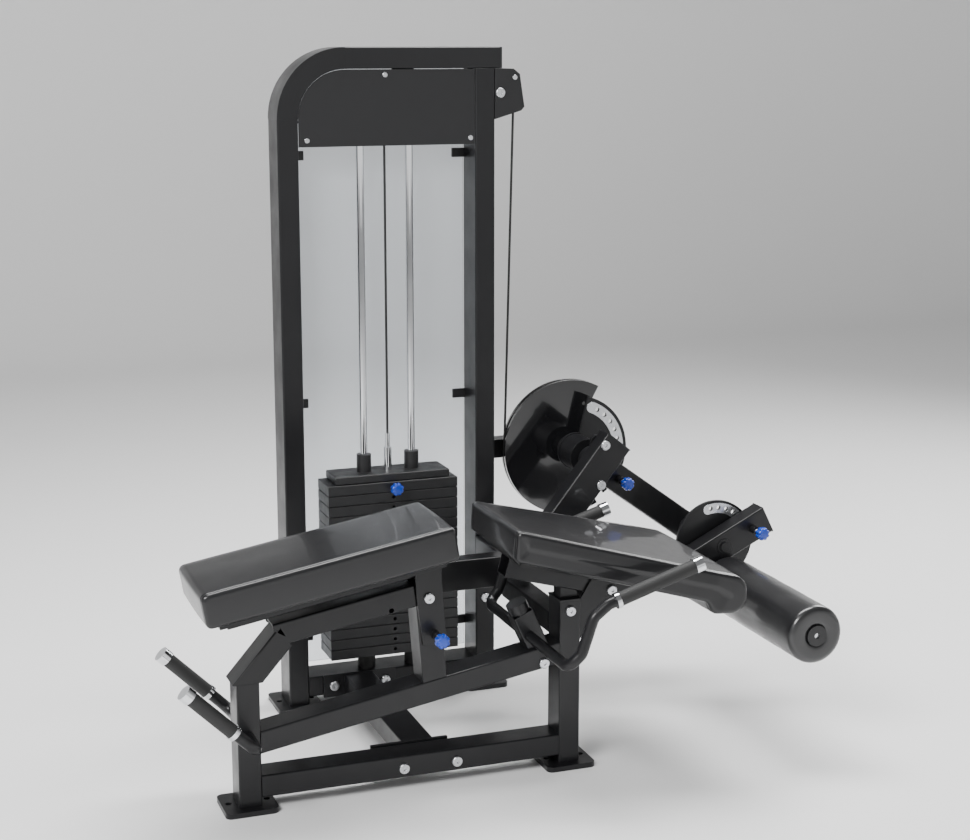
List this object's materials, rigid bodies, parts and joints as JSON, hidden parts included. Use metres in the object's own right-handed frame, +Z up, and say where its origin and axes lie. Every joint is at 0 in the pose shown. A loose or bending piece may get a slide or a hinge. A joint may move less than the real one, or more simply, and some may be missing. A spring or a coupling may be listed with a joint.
{
  "type": "leg extension machine",
  "caption": "Padded bench with a selectorised weight tower; a cable and cam link the stack to an indexed arm with an adjustable lever and a foam roller.",
  "frame": {"origin": "centre of the machine's footprint, on the floor", "axes": "+X along the bench towards the roller, +Y from the user's side towards the weight tower, +Z up"},
  "size_m": [1.5628, 0.9074, 1.605],
  "materials": {
    "black_paint": "satin",
    "gloss_black": "gloss",
    "plate_black": "satin",
    "chrome": "polished",
    "zinc": "bright",
    "vinyl": "gloss grain",
    "rubber": "matte",
    "clear_panel": "clear sheet",
    "black_plastic": "satin",
    "cable": "coated wire rope",
    "blue": "gloss"
  },
  "bodies": {
    "frame": {"bench_base_tube": "black_paint", "bench_main_beam": "black_paint", "bench_post_left": "black_paint", "bench_post_right": "black_paint", "bench_top_tube": "black_paint", "bumper_stand": "black_paint", "cable_head_run": "cable", "cable_stack_run": "cable", "cross_tube": "black_paint", "foot_plates": "black_paint", "frame_bolts": "zinc", "grip_collars": "chrome", "guide_rods": "chrome", "hand_grips": "rubber", "handle_bars": "black_paint", "head_brackets": "black_paint", "head_panel": "black_plastic", "near_bearing": "black_paint", "pad_rest_post": "black_paint", "panel_clips": "black_plastic", "pivot_rail": "black_paint", "pivot_upright": "black_paint", "pulley_box": "black_plastic", "rear_panel": "clear_panel", "seat_base": "black_paint", "seat_pad": "vinyl", "shaft_outrigger": "black_paint", "stack_buffers": "rubber", "tower_base_tube": "black_paint", "tower_bent_tube": "black_paint", "tower_post_right": "black_paint", "tube_caps": "black_plastic", "weight_plates": "plate_black"},
    "stack_carriage": {"stack_top_plate": "plate_black", "lifted_plate": "plate_black", "selector_stem": "chrome"},
    "selector": {"selector_pin": "blue"},
    "cam": {"cam_wheel": "gloss_black", "cam_shaft": "zinc", "index_plate": "black_paint", "index_scale": "zinc", "cable_cam_run": "cable"},
    "arm": {"arm_tube": "black_paint", "arm_bosses": "black_paint", "lever_disc": "black_paint", "lever_scale": "zinc"},
    "arm_pop_pin": {"arm_pin": "blue"},
    "lever": {"lever_tube": "black_paint", "lever_bosses": "black_paint", "roller_shaft": "zinc"},
    "lever_pop_pin": {"lever_pin": "blue"},
    "roller": {"roller_foam": "rubber", "roller_core": "black_plastic"},
    "head_rest": {"head_pad": "vinyl", "head_pad_base": "black_paint", "tilt_plates": "black_paint", "tilt_bolt": "zinc"},
    "tilt_pop_pin": {"tilt_pin": "blue"},
    "stack_pulley_wheel": {"stack_pulley": "black_plastic"},
    "drop_pulley_wheel": {"drop_pulley": "black_plastic"}
  },
  "joints": [
    {"name": "cam_swing", "type": "hinge", "parent": "frame", "child": "cam", "pos_m": [0.35777, 0.24375, 0.605], "axis": [0, -1, 0], "range_deg": [0, 85]},
    {"name": "stack_lift", "type": "slide", "parent": "frame", "child": "stack_carriage", "axis": [0, 0, 1], "range_m": [0, 0.255], "deforming": ["cable_stack_run"]},
    {"name": "stack_pulley_spin", "type": "hinge", "parent": "frame", "child": "stack_pulley_wheel", "pos_m": [-0.07173, 0.37375, 1.497], "axis": [0, 1, 0], "range_deg": [0, 305]},
    {"name": "drop_pulley_spin", "type": "hinge", "parent": "frame", "child": "drop_pulley_wheel", "pos_m": [0.16177, 0.37375, 1.497], "axis": [0, 1, 0], "range_deg": [0, 305]},
    {"name": "selector_slide", "type": "slide", "parent": "stack_carriage", "child": "selector", "axis": [0, -1, 0], "range_m": [0, 0.09]},
    {"name": "arm_adjust", "type": "hinge", "parent": "cam", "child": "arm", "pos_m": [0.35777, 0.24375, 0.605], "axis": [0, -1, 0], "range_deg": [0, 96]},
    {"name": "arm_pin_slide", "type": "slide", "parent": "arm", "child": "arm_pop_pin", "axis": [0, 1, 0], "range_m": [0, 0.011]},
    {"name": "lever_adjust", "type": "hinge", "parent": "arm", "child": "lever", "pos_m": [0.64677, 0.07375, 0.396], "axis": [0, -1, 0], "range_deg": [0, 72.5]},
    {"name": "lever_pin_slide", "type": "slide", "parent": "lever", "child": "lever_pop_pin", "axis": [0, 1, 0], "range_m": [0, 0.011]},
    {"name": "roller_spin", "type": "hinge", "parent": "lever", "child": "roller", "pos_m": [0.64377, -0.18625, 0.309], "axis": [0, 1, 0], "continuous": true},
    {"name": "pad_tilt", "type": "hinge", "parent": "frame", "child": "head_rest", "pos_m": [-0.21423, -0.18625, 0.438], "axis": [0, 1, 0], "range_deg": [0, 84]},
    {"name": "tilt_pin_slide", "type": "slide", "parent": "head_rest", "child": "tilt_pop_pin", "axis": [0, 1, 0], "range_m": [0, 0.009]}
  ],
  "couplings": [
    {"joint": "stack_lift", "follows": "cam_swing", "m_per_rad": 0.17},
    {"joint": "stack_pulley_spin", "follows": "cam_swing", "ratio": 3.5417},
    {"joint": "drop_pulley_spin", "follows": "cam_swing", "ratio": 3.5417}
  ]
}
